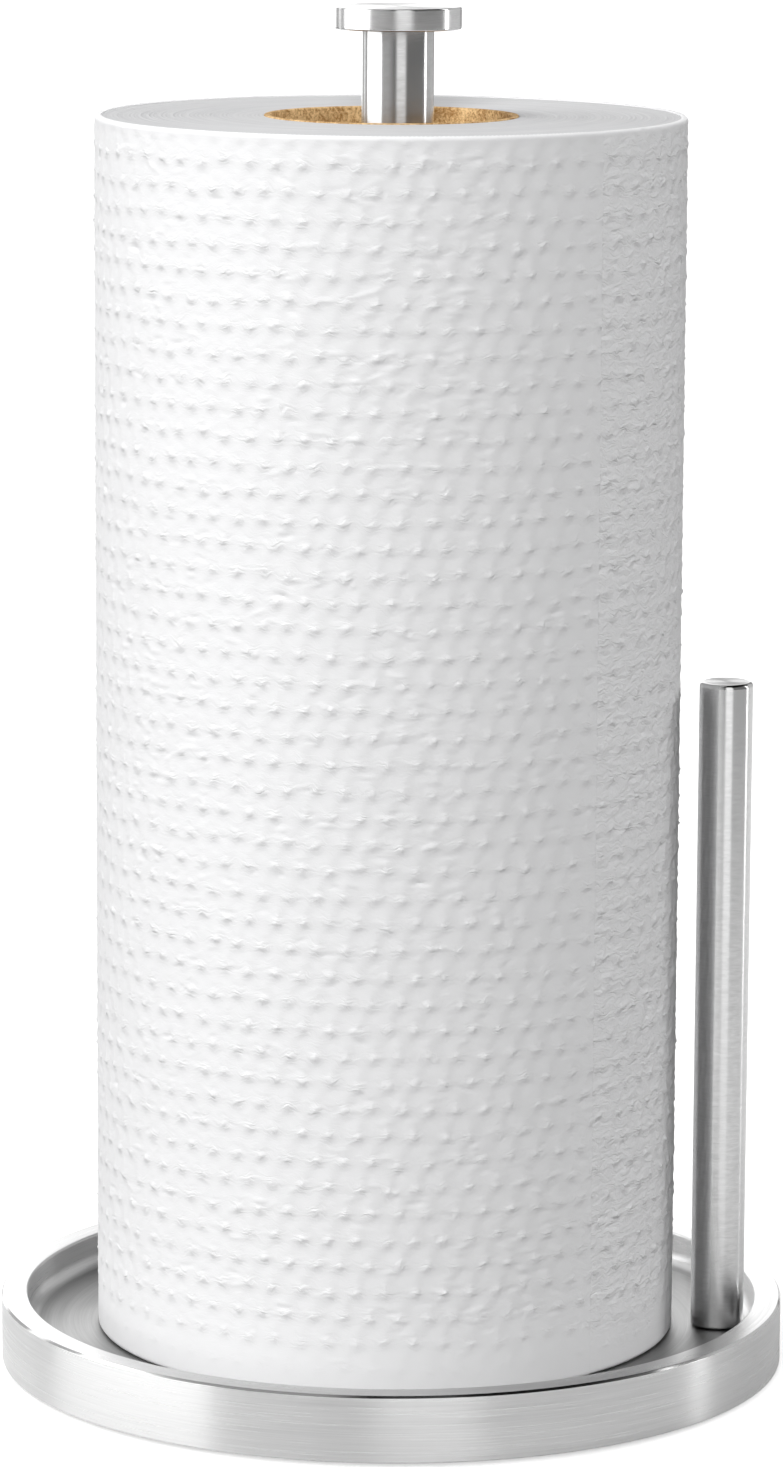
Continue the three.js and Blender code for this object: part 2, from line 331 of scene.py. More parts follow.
def kraft(name):
    """Brown spiral-wound board, speckled with fibres, with the seam of its inner ply."""
    seam_pitch = 88 * MM  # how far the seam climbs in one turn
    seam_half = 0.012  # half the seam's width, as a share of that pitch
    fibre_scale, cloud_scale = 1500, 160  # per metre

    def build(graph):
        place = graph.node("ShaderNodeTexCoord").outputs["Object"]
        radius, height, across, along = around(graph, ROLL_CENTRE)
        angle = graph.math("ARCTAN2", along, across)
        turn = graph.math("DIVIDE", angle, 2 * math.pi)
        seam = graph.math("FRACT", graph.math("MULTIPLY_ADD", height, 1 / seam_pitch, turn))
        away = graph.math("ABSOLUTE", graph.math("SUBTRACT", seam, 0.5))
        plain = graph.smooth(away, 0.0, seam_half)
        grain = graph.noise(place, fibre_scale, 4, 0.75)
        cloud = graph.noise(place, cloud_scale, 3, 0.6)
        mix = graph.math("MULTIPLY_ADD", grain, 0.7, graph.math("MULTIPLY", cloud, 0.3))
        fleck = graph.smooth(mix, 0.38, 0.62)
        board = mixed(graph, fleck, (0.36, 0.18, 0.055), (0.88, 0.62, 0.32))
        relief = graph.math("MULTIPLY_ADD", plain, 0.4, mix)
        return {
            "Base Color": mixed(graph, plain, (0.3, 0.17, 0.07), board),
            "Normal": bump(graph, relief, 0.25 * MM, 0.9),
        }

    return material(name, build, roughness=0.85, specular_ior_level=0.35)


def rubber(name):
    """Black rubber with a fine pebble grain and a little dust."""
    grain_scale, dust_scale = 1800, 45  # per metre

    def build(graph):
        place = graph.node("ShaderNodeTexCoord").outputs["Object"]
        grain = graph.noise(place, grain_scale, 4, 0.6)
        dust = graph.noise(place, dust_scale, 4, 0.6)
        return {
            "Base Color": mixed(graph, dust, (0.018, 0.018, 0.019), (0.042, 0.041, 0.04)),
            "Roughness": graph.linear(grain, *USUAL, 0.7, 0.95),
            "Normal": bump(graph, grain, 0.06 * MM, 0.7),
        }

    return material(name, build, specular_ior_level=0.4)


def zinc(name):
    """Bright zinc plate: faintly blue and yellow patches over a fine satin grain."""
    patch_scale, grain_scale = 120, 2600  # per metre

    def build(graph):
        place = graph.node("ShaderNodeTexCoord").outputs["Object"]
        patches = graph.noise(place, patch_scale, 3, 0.6)
        grain = graph.noise(place, grain_scale, 3, 0.6)
        return {
            "Base Color": mixed(graph, patches, (0.50, 0.51, 0.53), (0.63, 0.62, 0.57)),
            "Roughness": graph.linear(grain, *USUAL, 0.28, 0.46),
            "Normal": bump(graph, grain, 0.012 * MM, 0.6),
        }

    return material(name, build, metallic=1.0)


def mill_steel(name):
    """Plain rolled steel with mottled grey scale."""
    mottle_scale, grain_scale = 70, 1900  # per metre

    def build(graph):
        place = graph.node("ShaderNodeTexCoord").outputs["Object"]
        mottle = graph.noise(place, mottle_scale, 5, 0.65)
        grain = graph.noise(place, grain_scale, 3, 0.6)
        return {
            "Base Color": mixed(graph, mottle, (0.19, 0.19, 0.2), (0.36, 0.35, 0.34)),
            "Roughness": graph.linear(mottle, *USUAL, 0.42, 0.66),
            "Normal": bump(graph, grain, 0.02 * MM, 0.7),
        }

    return material(name, build, metallic=1.0)


# ---- Mesh helpers ----


def rounded(corners, steps=8):
    """The points of an outline through corners (radius, height, round), as arcs at its rounds."""
    points = []
    for i, (radius, height, *rest) in enumerate(corners):
        corner = np.array((radius, height))
        size = rest[0] if rest else 0
        if not size:
            points.append(corner)
            continue
        before = np.array(corners[i - 1][:2]) - corner
        after = np.array(corners[(i + 1) % len(corners)][:2]) - corner
        before, after = before / np.linalg.norm(before), after / np.linalg.norm(after)
        half = math.acos(float(before @ after)) / 2
        middle = (before + after) / np.linalg.norm(before + after)
        centre = corner + middle * size / math.sin(half)
        start = corner + before * size / math.tan(half) - centre
        turn = -np.sign(before[0] * after[1] - before[1] * after[0]) * (math.pi - 2 * half)
        for k in range(steps + 1):
            c, s = math.cos(turn * k / steps), math.sin(turn * k / steps)
            points.append(centre + (c * start[0] - s * start[1], s * start[0] + c * start[1]))
    return np.array(points)


SHARP = 35  # degrees: a sharper edge than this is shaded as an edge


def new_object(name, vertices, faces, look, sharp=SHARP):
    mesh = bpy.data.meshes.new(name)
    mesh.from_pydata([tuple(v) for v in vertices], [], faces)
    mesh.materials.append(look)
    mesh.polygons.foreach_set("use_smooth", [True] * len(mesh.polygons))
    mesh.set_sharp_from_angle(angle=math.radians(sharp))
    made = bpy.data.objects.new(name, mesh)
    bpy.context.scene.collection.objects.link(made)
    return made


def turned(name, outline, look, centre=(0, 0), segments=192, sharp=SHARP):
    """A turned piece. Its outline runs counter-clockwise with radius to the right and height up:
    from the axis back to the axis, or round a ring's section and closed on itself."""
    outline = np.asarray(outline, float)
    angles = np.linspace(0, 2 * math.pi, segments, endpoint=False)
    circle = np.stack([np.cos(angles), np.sin(angles)], axis=1)
    solid = outline[0, 0] < 1e-9
    ring = outline[1:-1] if solid else outline
    count = len(ring)
    vertices = np.zeros((count, segments, 3))
    vertices[:, :, 0] = ring[:, :1] * circle[:, 0] + centre[0]
    vertices[:, :, 1] = ring[:, :1] * circle[:, 1] + centre[1]
    vertices[:, :, 2] = ring[:, 1:]
    flat = vertices.reshape(-1, 3)
    here = np.arange(segments)
    after = (here + 1) % segments
    faces = []
    for low in range(count - 1 if solid else count):
        a, b = low * segments, ((low + 1) % count) * segments
        faces += np.stack([a + here, a + after, b + after, b + here], axis=1).tolist()
    if solid:
        poles = [(*centre, outline[0, 1]), (*centre, outline[-1, 1])]
        flat = np.vstack([flat, poles])
        bottom, top = len(flat) - 2, len(flat) - 1
        last = (count - 1) * segments
        faces += [[bottom, int(b), int(a)] for a, b in zip(here, after)]
        faces += [[top, int(last + a), int(last + b)] for a, b in zip(here, after)]
    return new_object(name, flat, faces, look, sharp)


def cut(piece, cutters):
    """Cuts each cutter out of piece, and removes the cutters."""
    for cutter in cutters:
        modifier = piece.modifiers.new("cut", "BOOLEAN")
        modifier.operation = "DIFFERENCE"
        modifier.solver = "EXACT"
        modifier.object = cutter
    bpy.context.view_layer.update()
    shown = piece.evaluated_get(bpy.context.evaluated_depsgraph_get())
    mesh = bpy.data.meshes.new_from_object(shown)
    piece.modifiers.clear()
    piece.data = mesh
    mesh.set_sharp_from_angle(angle=math.radians(SHARP))
    for cutter in cutters:
        bpy.data.objects.remove(cutter)
    return piece


def drill(radius, low, high, centre, look, segments=48):
    """A plain upright cutter: a drill, or with 6 segments a hexagon key."""
    outline = [(0, low), (radius, low), (radius, high), (0, high)]
    return turned("drill", outline, look, centre, segments)


def finished(piece, body, slot, *nodes):
    """piece stands for those CAD nodes, which it hides, and moves with that body; slot is not used.
    """
    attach(piece, body)
    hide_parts(*nodes)
    return piece


# ---- The base ----


def make_base_shell():
    """The spun tray: a raised flat rim, folded over, round a floor with a hole under the post."""
    wall = BASE_RADIUS - RIM_WIDTH
    under = TRAY_FLOOR - SHEET
    corners = [
        (POST_SCREW_HOLE, under),
        (wall + SHEET, under, 4 * MM),
        (wall + SHEET, RIM_TOP - SHEET),
        (BASE_RADIUS - SHEET, RIM_TOP - SHEET),
        (BASE_RADIUS - SHEET, SHELL_LOW.z, 0.3 * MM),
        (BASE_RADIUS, SHELL_LOW.z, 0.45 * MM),
        (BASE_RADIUS, RIM_TOP - BEVEL * 1.2, 0.1 * MM),
        (BASE_RADIUS - BEVEL, RIM_TOP, 0.1 * MM),
        (wall, RIM_TOP, 0.6 * MM),
        (wall, TRAY_FLOOR, 3 * MM),
        (POST_SCREW_HOLE, TRAY_FLOOR),
    ]
    # The tray's floor: a coarser satin, and its colour darkened as painted shade.
    satin = (wall - 3 * MM, TRAY_FLOOR + 1 * MM)
    bevel = (BASE_RADIUS - BEVEL * 1.2, -1, RIM_TOP - BEVEL * 1.3)
    look = stainless("brushed_stainless_base", (0, 0), 0.3, 1.0, 1.0, satin, bevel)
    piece = turned("tray_shell", rounded(corners, 10), look, segments=360)
    finished(piece, "holder", "brushed_stainless", "base_shell")


def access_holes(radii, low, high, look):
    """A cutter over each fastening in the base: the post's, the rod's and the cover's."""
    post, rod, small = radii
    places = [((0, 0), post), (ROD_CENTRE, rod)]
    for i in range(3):
        screw_low, screw_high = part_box(f"cover_screw_{i + 1}")
        middle = (screw_low + screw_high) / 2
        places.append(((middle.x, middle.y), small))
    return [drill(radius, low, high, place, look) for place, radius in places]


def make_pad():
    """A rubber disc with shallow ribs round its lower face, and a hole under each fastening."""
    look = rubber("black_rubber")
    radius = PAD_HIGH.x
    top = PAD_HIGH.z
    bevel = 0.4 * MM
    pitch = 3 * MM
    depth = 0.35 * MM
    groove = 1.35 * MM
    first = 11 * MM
    outline = [(0, 0)]
    for i in range(int((radius - 12 * MM) / pitch)):
        start = first + i * pitch
        outline += [
            (start, 0),
            (start + depth, depth),
            (start + groove - depth, depth),
            (start + groove, 0),
        ]
    outline += [(radius - bevel, 0), (radius, bevel), (radius, top), (0, top)]
    disc = turned("rubber_pad", outline, look, segments=240)
    holes = (8.5 * MM, 7.5 * MM, 5 * MM)
    cut(disc, access_holes(holes, -1 * MM, top + 1 * MM, look))
    finished(disc, "holder", "black_rubber", "nonslip_pad")


def make_screw(name, node, shank, socket, look):
    """A button-head screw, head down, with a hexagon socket."""
    low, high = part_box(node)
    centre = ((low.x + high.x) / 2, (low.y + high.y) / 2)
    head = (high.x - low.x) / 2
    length = high.z - low.z
    rise = head * 0.6 if head > 4.5 * MM else head * 0.33  # the cover's screws have low heads
    point = 0.5 * MM
    corners = [
        (0, low.z),
        (head * 0.99, low.z, rise * 0.7),
        (head, low.z + rise),
        (shank, low.z + rise),
        (shank, low.z + length - point),
        (shank - point, high.z),
        (0, high.z),
    ]
    piece = turned(name, rounded(corners, 8), look, centre, 64)
    hexagon = drill(socket, low.z - 1 * MM, low.z + rise * 0.6, centre, look, 6)
    cut(piece, [hexagon])
    finished(piece, "holder", "zinc_plated_steel", node)


# A box 2 long and 1 wide and high, which cuts the slit of a spring washer.
BOX_CORNERS = np.array(
    [(x, y, z) for x in (-1, 1) for y in (-0.5, 0.5) for z in (-0.5, 0.5)], float
)
BOX_FACES = [[0, 1, 3, 2], [4, 6, 7, 5], [0, 4, 5, 1], [2, 3, 7, 6], [0, 2, 6, 4], [1, 5, 7, 3]]


def make_washer(node, bore, look, slit=0.0):
    """A flat washer, or a spring washer with a slit of that width."""
    low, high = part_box(node)
    radius = (high.y - low.y) / 2
    # A spring washer's slit opens at its +X side, so its centre is found from the other side.
    centre = (low.x + radius if slit else high.x - radius, (low.y + high.y) / 2)
    edge = 0.15 * MM
    corners = [(bore, low.z), (radius, low.z, edge), (radius, high.z, edge), (bore, high.z)]
    piece = turned(node + "_fine", rounded(corners, 3), look, centre, 64)
    if slit:
        knife = new_object("knife", BOX_CORNERS * (radius, slit, 4 * MM), BOX_FACES, look)
        place = (centre[0] + radius, centre[1], (low.z + high.z) / 2)
        slant = Matrix.Rotation(math.radians(20), 4, "X")
        knife.matrix_world = Matrix.Translation(place) @ slant
        cut(piece, [knife])
    finished(piece, "holder", "zinc_plated_steel", node)


def make_fasteners():
    """Each screw with its shank's and its socket's radius, each washer with its bore's."""
    look = zinc("zinc_plate")
    make_screw("post_screw_fine", "post_screw", 3 * MM, 2.3 * MM, look)
    make_screw("rod_screw_fine", "rod_screw", 2.5 * MM, 1.7 * MM, look)
    for i in range(3):
        make_screw(f"cover_screw_{i + 1}_fine", f"cover_screw_{i + 1}", 2 * MM, 1.2 * MM, look)
    make_washer("post_flat_washer", 3.15 * MM, look)
    make_washer("rod_flat_washer", 2.65 * MM, look)
    make_washer("post_spring_washer", 3.15 * MM, look, 1.2 * MM)
    make_washer("rod_spring_washer", 2.65 * MM, look, 1.2 * MM)
    for node in ("base_cover", "knob_stud"):
        dress(node, look)


def dress(node, look):
    """Gives a CAD node that stays a material of its own."""
    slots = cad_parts[node].data.materials
    slots.clear()
    slots.append(look)


def dress_hidden_steel():
    look = mill_steel("mill_steel")
    for node in ("base_weight", "post_foot_plug", "post_top_plug"):
        dress(node, look)


# ---- The post, its knob and the side rod ----


def make_post():
    radius = POST_HIGH.x
    inner = radius - 1.2 * MM  # inside the tube's wall
    corners = [
        (inner, POST_LOW.z),
        (radius, POST_LOW.z, 0.3 * MM),
        (radius, POST_HIGH.z, 0.25 * MM),
        (inner, POST_HIGH.z),
    ]
    # painted shade: the post's steel colour is made darker than the base's
    look = stainless("brushed_stainless_post", (0, 0), 0.22, 0.25, 0.88)
    piece = turned("centre_post", rounded(corners, 4), look, segments=128)
    finished(piece, "holder", "brushed_stainless", "post_tube")


def make_knob():
    radius = KNOB_HIGH.x
    hole, depth = 3.05 * MM, 3.5 * MM  # for the stud
    edge = 0.4 * MM
    corners = [
        (0, KNOB_LOW.z + depth),
        (hole, KNOB_LOW.z + depth),
        (hole, KNOB_LOW.z),
        (radius, KNOB_LOW.z, edge),
        (radius, KNOB_HIGH.z, edge),
        (0, KNOB_HIGH.z),
    ]
    bevel = (radius - edge, KNOB_LOW.z + edge, KNOB_HIGH.z - edge)
    # painted light: the knob's steel colour is made a little lighter than the base's
    look = stainless("brushed_stainless_knob", (0, 0), 0.32, 0.25, 1.03, bevel=bevel)
    piece = turned("post_knob", rounded(corners, 8), look, segments=192)
    finished(piece, "holder", "brushed_stainless", "knob")


def make_rod():
    hole, depth = 2.55 * MM, 12 * MM  # for the screw
    edge = 1.0 * MM
    foot = ROD_LOW.z
    corners = [
        (0, foot + depth),
        (hole, foot + depth),
        (hole, foot),
        (ROD_RADIUS, foot, 0.6 * MM),
        (ROD_RADIUS, ROD_HIGH.z, edge),
        (0, ROD_HIGH.z),
    ]
    # The rod's ends: a coarser satin, and their colour darkened as painted shade.
    satin = (ROD_RADIUS - 1.5 * edge, ROD_HIGH.z + edge)
    bevel = (ROD_RADIUS - edge, foot, ROD_HIGH.z - edge)
    # painted light: the rod's steel colour is made lighter than the base's
    look = stainless("brushed_stainless_rod", ROD_CENTRE, 0.22, 0.25, 1.15, satin, bevel)
    piece = turned("towel_side_rod", rounded(corners, 8), look, ROD_CENTRE, 128)
    finished(piece, "holder", "brushed_stainless", "side_rod")


# ---- The roll ----

TURN = 0.28 * MM  # thickness that each turn of the soft embossed web adds
FACE = 0.08 * MM  # how far the web's free edge lies inside the roll's widest radius
OUTER_TURNS = 1.6 * MM  # how deep the embossed outer turns reach
RIPPLE = 0.12 * MM  # of their inner edge at the roll's ends
FREE_EDGE = math.radians(-46.5)  # where the web's free edge lies, from +X
TUCK = 5 * MM  # how far the outer turn runs on under the free edge
TAIL_DEPTH = 0.6 * MM  # how deep it lies there, at the least
SHEET_LENGTH = 150 * MM  # between perforations
LAST_SHEET = 2 * SHEET_LENGTH  # from here on, to the right of the free edge, it is crumpled most
ROUND_ONCE = 2 * math.pi * ROLL_RADIUS
NUB_PITCH = 6.3 * MM  # along the web
ROW_PITCH = 5.9 * MM  # up the roll
GRID = 0.5 * MM
PLAIN_FOOT = 20 * MM  # the emboss fades out over this height above the roll's foot
PLAIN_TOP = 3 * MM  # and over this height below its top
LEAST = 0.05  # of the emboss that stays there
LIP = 0.35 * MM  # rounding of the web's cut edges
SMOOTH_WEB = 0.12  # how crumpled the web is on average, beside 1 on the last sheet
PATCHES = 9  # more crumpled patches on the first sheets
PATCH_SIZE = (16 * MM, 26 * MM)
PATCH_CRUMPLING = 0.5
WANDER = 0.3 * MM  # how far a nub lies off its place in the pattern
CREASES = 8  # long fine creases beside each nub where the web is crumpled
CREASE_WIDTH = 0.34  # mm
CREASE_HEIGHT = 0.13  # mm
FINE, FINE_ON_LAST, FINE_ON_NUB = 0.14, 0.75, 0.8  # strength of the finest creases
PERFORATION = (0.35 * MM, 0.2 * MM)  # width and depth
SLOT, SLOT_PITCH = 2 * MM, 3 * MM  # of the perforation's cuts
EMBOSS_SEED, WINDING_SEED = 11, 5


def stroke(length, width, turn, height):
    """A ridge along a short line turned by that angle, as a function of the two distances."""
    c, s = math.cos(turn), math.sin(turn)

    def shape(a, b):
        along, aside = a * c + b * s, b * c - a * s
        return height * np.exp(-((along / length) ** 2) - (aside / width) ** 2)

    return shape, 2.6 * max(length, width)


def stamp(field, s, z, place, ridge):
    """Adds that stroke to the field around place."""
    shape, reach = ridge
    i0, i1 = np.searchsorted(s, (place[0] - reach, place[0] + reach))
    j0, j1 = np.searchsorted(z, (place[1] - reach, place[1] + reach))
    if i1 > i0 and j1 > j0:
        field[i0:i1, j0:j1] += shape(s[i0:i1, None] - place[0], z[None, j0:j1] - place[1])


def crumpling(place, patches):
    """How crumpled the web is there: most on the last sheet, and in soft patches elsewhere."""
    rough = 1.0 if place[0] > LAST_SHEET else SMOOTH_WEB
    for patch in patches:
        away = np.hypot(*((place - patch) / PATCH_SIZE))
        rough += PATCH_CRUMPLING * math.exp(-(away**2))
    return rough


def pinch(random, size):
    """The strokes of one pinched nub: its place on the nub, then length, width, turn and height,
    all in mm and radians."""
    length, turn = random.uniform(0.5, 0.8), random.normal(0, 0.4)
    yield (0, 0), (length, CREASE_WIDTH, turn, 0.31 * size)  # the sharp crest
    yield (0, -0.6), (0.8, 0.6, random.normal(0, 0.2), 0.08 * size)  # the mound that carries it
    fold = random.normal(0, 0.3, 2) + (0, 1.0)
    yield fold, (0.8, 0.36, random.normal(0, 0.3), 0.12 * size)  # a second fold above it
    yield (0, -2.4), (1.3, 1.5, 0, -0.14)  # the soft hollow below
    yield (0, 2.5), (1.3, 1.5, 0, 0.12)  # the soft swell above
    for _ in range(random.integers(0, 4)):
        place = random.normal(0, 1, 2) * (1.1, 0.7)
        length, turn = random.uniform(0.45, 0.9), random.normal(0, 0.6)
        yield place, (length, CREASE_WIDTH, turn, random.normal(0, CREASE_HEIGHT))


def embossed(s, z):
    """How far the web's face stands out at each point, and how crinkled it is there."""
    random = np.random.default_rng(EMBOSS_SEED)
    height = np.zeros((len(s), len(z)))
    crinkle = np.full((len(s), len(z)), FINE)
    crinkle[s > LAST_SHEET] = FINE_ON_LAST
    patches = random.uniform((0, 0), (LAST_SHEET, z[-1]), (PATCHES, 2))
    columns = int(s[-1] / NUB_PITCH) + 1
    for row in range(int(z[-1] / ROW_PITCH) + 2):
        for column in range(columns + 1):
            at = np.array(((column + row % 2 / 2) * NUB_PITCH, row * ROW_PITCH))
            at += random.normal(0, WANDER, 2)
            rough = crumpling(at, patches)
            for place, (length, width, turn, tall) in pinch(random, random.uniform(0.5, 1.25)):
                ridge = stroke(length * MM, width * MM, turn, tall * MM)
                stamp(height, s, z, at + np.multiply(place, MM), ridge)
            stamp(crinkle, s, z, at, stroke(1.9 * MM, 1.2 * MM, 0, FINE_ON_NUB))
            for _ in range(random.poisson(CREASES * rough)):
                place = at + random.normal(0, 1, 2) * (2 * MM, 2 * MM)
                length = random.uniform(0.9, 2.4) * MM
                turn, tall = random.normal(0, 0.18), random.normal(0, CREASE_HEIGHT * MM)
                stamp(height, s, z, place, stroke(length, CREASE_WIDTH * MM, turn, tall))
    width, depth = PERFORATION
    for i in range(1, 3):
        near = np.exp(-(((s - i * SHEET_LENGTH) / width) ** 2))
        height -= depth * near[:, None] * (z % SLOT_PITCH < SLOT)[None, :]
    return height, crinkle


def web_face():
    """The outer turn as a grid of points, along the web and up it, with its crinkle."""
    z = np.linspace(0, ROLL_HIGH.z - ROLL_LOW.z, int((ROLL_HIGH.z - ROLL_LOW.z) / GRID) + 1)
    s = np.linspace(0, ROUND_ONCE + TUCK, int((ROUND_ONCE + TUCK) / GRID) + 1)
    height, crinkle = embossed(s, z)
    fade = np.clip(z / PLAIN_FOOT, 0, 1)
    fade = fade**2 * (3 - 2 * fade) * np.clip((z[-1] - z) / PLAIN_TOP, 0, 1)
    rim = np.clip(np.minimum(z, z[-1] - z) / LIP, 0, 1)
    drop = LIP * (1 - np.sqrt(1 - (1 - rim) ** 2))
    face = ROLL_RADIUS - FACE - TURN * s / ROUND_ONCE
    radius = face[:, None] + height * (LEAST + (1 - LEAST) * fade)[None, :] - drop[None, :]
    under = s > ROUND_ONCE  # the outer turn's tail, under its free edge
    radius[under] = np.minimum(radius[under], ROLL_RADIUS - FACE - TAIL_DEPTH)
    return s, z, radius, crinkle * fade[None, :]


def grid_faces(grid):
    """Quads over a grid of vertex numbers."""
    corners = (grid[1:, :-1], grid[:-1, :-1], grid[:-1, 1:], grid[1:, 1:])
    return np.stack(corners, axis=-1).reshape(-1, 4)


def make_outer_turn(look):
    """The roll's outer turns, embossed outside: two pieces to each tear-off sheet."""
    s, z, radius, crinkle = web_face()
    pieces = 6
    cuts = np.searchsorted(s, np.arange(pieces) * SHEET_LENGTH / 2).tolist() + [len(s) - 1]
    inner = ROLL_RADIUS - FACE - OUTER_TURNS
    for number, (first, last) in enumerate(zip(cuts, cuts[1:])):
        part = slice(first, last + 1)
        columns, rows = last + 1 - first, len(z)
        angle = FREE_EDGE - s[part] / ROLL_RADIUS
        ripple = RIPPLE * (np.arange(first, last + 1) % 2)
        points = np.zeros((columns, rows + 2, 3))
        reach = np.full((columns, rows + 2), inner)
        reach[:, :rows] = radius[part]
        points[:, :, 0] = reach * np.cos(angle)[:, None] + ROLL_CENTRE[0]
        points[:, :, 1] = reach * np.sin(angle)[:, None] + ROLL_CENTRE[1]
        points[:, :rows, 2] = ROLL_LOW.z + z[None, :]
        points[:, rows, 2] = ROLL_HIGH.z - ripple
        points[:, rows + 1, 2] = ROLL_LOW.z + ripple
        grid = np.arange(columns * (rows + 2)).reshape(columns, rows + 2)
        loop = np.hstack([grid, grid[:, :1]])
        faces = grid_faces(loop).tolist()
        faces += [grid[0].tolist(), grid[-1, ::-1].tolist()]
        name = f"outer_turn_sheet_{number // 2 + 1}{'ab'[number % 2]}"
        piece = new_object(name, points.reshape(-1, 3), faces, look, 60)
        mesh = piece.data
        web = np.zeros((columns, rows + 2, 2), np.float32)
        web[:, :, 0] = s[part, None]
        web[:, :, 1] = np.append(z, (z[-1] + OUTER_TURNS, -OUTER_TURNS))[None, :]
        corners = np.zeros(len(mesh.loops), np.int32)
        mesh.loops.foreach_get("vertex_index", corners)
        layer = mesh.uv_layers.new(name="web")
        layer.data.foreach_set("uv", web.reshape(-1, 2)[corners].ravel())
        values = np.zeros((columns, rows + 2), np.float32)
        values[:, :rows] = crinkle[part]
        mesh.attributes.new("crinkle", "FLOAT", "POINT").data.foreach_set("value", values.ravel())
        finished(piece, "roll_paper", "white_tissue", "paper_roll")


def make_winding():
    """The wound paper inside the outer turns, its ends ridged ring by ring."""
    look = tissue_ends("tissue_ends")
    random = np.random.default_rng(WINDING_SEED)
    bore = CORE_RADIUS + 0.1 * MM
    outside = ROLL_RADIUS - FACE - OUTER_TURNS - 0.05 * MM
    pitch = 0.9 * MM
    valley = 0.12 * MM
    slope = 0.02 * MM  # of each ridge's top, down to the outside
    sink = 0.25 * MM  # how far the ridges start below the paper's edge
    ridges = []
    for i in range(int((outside - bore) / pitch)):
        radius = bore + (i + 0.15) * pitch
        lift = random.uniform(0.05, 0.2) * MM
        ridges += [(radius, -valley), (radius + 0.3 * pitch, lift - valley)]
        ridges.append((radius + 0.6 * pitch, lift - valley - slope))
    bottom = [(r, ROLL_LOW.z + sink - h) for r, h in ridges]
    top = [(r, ROLL_HIGH.z - sink + h) for r, h in reversed(ridges)]
    outline = [(bore, ROLL_LOW.z + sink)] + bottom + [(outside, ROLL_LOW.z + sink)]
    outline += [(outside, ROLL_HIGH.z - sink)] + top + [(bore, ROLL_HIGH.z - sink)]
    piece = turned("paper_winding", outline, look, ROLL_CENTRE, 240, sharp=80)
    finished(piece, "roll_paper", "white_tissue", "paper_roll")


def make_core():
    """The roll's board tube, its bore's top edge rounded the most."""
    look = kraft("kraft_board")
    inner = CORE_RADIUS - CORE_WALL
    corners = [
        (inner, CORE_LOW.z, 0.25 * MM),
        (CORE_RADIUS, CORE_LOW.z, 0.2 * MM),
        (CORE_RADIUS, CORE_HIGH.z, 0.2 * MM),
        (inner, CORE_HIGH.z, 0.4 * MM),
    ]
    piece = turned("kraft_core", rounded(corners, 5), look, ROLL_CENTRE, 192)
    finished(piece, "roll_core", "kraft_board", "cardboard_core")


# ---- Studio ----

FLOOR_RADIUS = 1.25
FLOOR_HOLE = 0.995  # of the pad's radius, under the base, so that the underside can be seen
FLOOR_GLOW = 0.6  # seen by the camera only, so that the floor is as pale as the backdrop
FLOOR_SEEN = (0.86, 0.86, 0.86)  # by the camera and in reflections
FLOOR_BOUNCE = (0.12, 0.12, 0.12)  # as the matt surfaces above it are lit by it


def make_floor():
    """The table: a wide matt ring round the pad."""
    segments = 96
    angles = np.linspace(0, 2 * math.pi, segments, endpoint=False)
    circle = np.stack([np.cos(angles), np.sin(angles), np.zeros(segments)], axis=1)
    points = np.vstack([circle * PAD_HIGH.x * FLOOR_HOLE, circle * FLOOR_RADIUS])
    here = np.arange(segments)
    after = (here + 1) % segments
    ring = np.stack([here, here + segments, after + segments, after], axis=1)

    def build(graph):
        path = graph.node("ShaderNodeLightPath").outputs
        bright = graph.math("MULTIPLY", path["Is Camera Ray"], FLOOR_GLOW)
        shade = mixed(graph, path["Is Diffuse Ray"], FLOOR_SEEN, FLOOR_BOUNCE)
        return {"Emission Strength": bright, "Base Color": shade}

    fixed = {"roughness": 0.9, "emission_color": (1, 1, 1, 1), "specular_ior_level": 0.1}
    look = material("white_table", build, **fixed)
    floor = new_object("table", points, ring.tolist(), look)


# Soft light from around: azimuth from the camera's side, positive to the right, half width,
# elevation, half height, softness of the sides, all in degrees, and radiance.
LIGHTS = {
    "left": (-83, 30, 8, 34, 3, 2.5),
    "left_strip": (-131, 4, 10, 50, 2, 1.0),
    "front": (11, 15, 15, 40, 12, 0.95),
    "right": (126, 30, 2, 30, 6, 0.42),
    "right_strip": (100, 3, 6, 30, 2, 4.5),
    "back": (-170, 20, 20, 30, 8, 1.1),
    "left_haze": (-105, 85, 45, 50, 30, 0.36),
    "below": (0, 200, -62, 28, 1, 0.8),
}
TALL_EDGE = 5  # half the width over which a light fades at its top and its foot
AROUND = 0.18  # radiance between the lights
LID = 44  # above this elevation little more than the lights themselves shines
LID_EDGE = 6  # half the width over which the rest fades there
LID_SHARE = 0.05  # of it that stays
PAPER_SHARE = 0.56  # of the world's light that reaches the matt surfaces
FLOOR_BAND = (-40, -30, -3, 3)  # the matt surfaces get none of it between the middle two
BACKDROP = 1.15  # what the camera sees behind the object

# Area lights that only shade matt surfaces: azimuth, elevation, distance, side and power.
AREA_LIGHTS = {
    "key": (-6, 25, 3.0, 0.8, 50.0),
    "overhead": (-75, 60, 2.0, 0.6, 14.5),
    "fill": (122, 12, 2.0, 0.5, 13.5),
}


def make_area_light(name, azimuth, elevation, distance, side, watts):
    """A square light, placed and aimed about the middle of the post."""
    data = bpy.data.lights.new(name, "AREA")
    data.shape = "SQUARE"
    data.size = side
    data.energy = watts
    lamp = bpy.data.objects.new(name, data)
    bpy.context.scene.collection.objects.link(lamp)
    lamp.matrix_world = (
        Matrix.Translation((0, 0, POST_HIGH.z / 2))
        @ Matrix.Rotation(math.radians(azimuth), 4, "Z")
        @ Matrix.Rotation(math.radians(90 - elevation), 4, "X")
        @ Matrix.Translation((0, 0, distance))
    )
    lamp.visible_camera = False
    lamp.visible_glossy = False


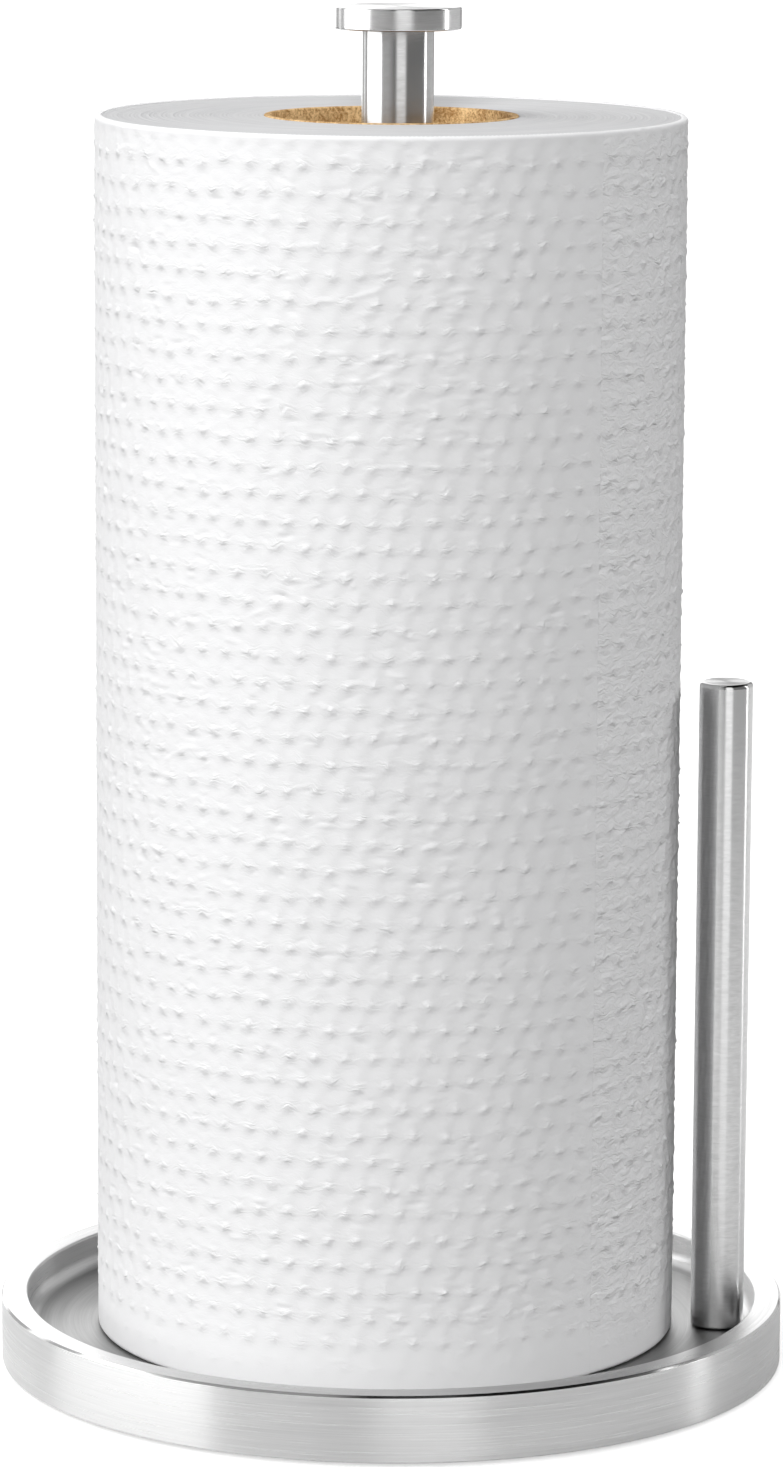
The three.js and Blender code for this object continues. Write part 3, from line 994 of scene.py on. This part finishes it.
def make_world():
    """The studio's lights as bright fields of the sky, and the plain backdrop behind them."""
    world = bpy.data.worlds.new("studio")
    world.use_nodes = True
    graph = Graph(world.node_tree)
    direction = graph.node("ShaderNodeTexCoord").outputs["Generated"]
    x, y, z = graph.separate(graph.vector("NORMALIZE", direction))
    azimuth = graph.math("DEGREES", graph.math("ARCTAN2", x, graph.math("MULTIPLY", y, -1)))
    elevation = graph.math("DEGREES", graph.math("ARCSINE", z))
    total = graph.smooth(elevation, LID - LID_EDGE, LID + LID_EDGE, AROUND, LID_SHARE * AROUND)
    for centre, half, level, reach, soft, radiance in LIGHTS.values():
        away = graph.math("WRAP", graph.math("SUBTRACT", azimuth, centre), 180, -180)
        off = graph.math("ABSOLUTE", away)
        wide = graph.smooth(off, half - soft / 2, half + soft / 2, 1, 0)
        above = graph.math("ABSOLUTE", graph.math("SUBTRACT", elevation, level))
        tall = graph.smooth(above, reach - TALL_EDGE, reach + TALL_EDGE, 1, 0)
        shape = graph.math("MULTIPLY", wide, tall)
        total = graph.math("MULTIPLY_ADD", shape, radiance, total)
    path = graph.node("ShaderNodeLightPath").outputs
    deep, shallow, horizon, sky = FLOOR_BAND
    share = graph.math(
        "ADD",
        graph.smooth(elevation, horizon, sky, 0, PAPER_SHARE),
        graph.smooth(elevation, deep, shallow, PAPER_SHARE, 0),
    )
    lost = graph.math("MULTIPLY", graph.math("SUBTRACT", 1, share), path["Is Diffuse Ray"])
    lit = graph.math("SUBTRACT", 1, lost)
    light = graph.node("ShaderNodeBackground", {"Strength": graph.math("MULTIPLY", total, lit)})
    backdrop = graph.node("ShaderNodeBackground", {"Strength": BACKDROP})
    both = graph.node(
        "ShaderNodeMixShader",
        {0: path["Is Camera Ray"], 1: light.outputs[0], 2: backdrop.outputs[0]},
    )
    light.inputs["Color"].default_value = (1, 1, 1, 1)
    backdrop.inputs["Color"].default_value = (1, 1, 1, 1)
    graph.node("ShaderNodeOutputWorld", {0: both.outputs[0]})
    bpy.context.scene.world = world


make_camera()
make_world()
for light_name, light_facts in AREA_LIGHTS.items():
    make_area_light(light_name, *light_facts)
make_floor()
make_base_shell()
make_pad()
make_fasteners()
dress_hidden_steel()
make_post()
make_knob()
make_rod()
make_outer_turn(tissue("embossed_tissue"))
make_winding()
make_core()

bpy.context.scene.view_settings.view_transform = "Standard"
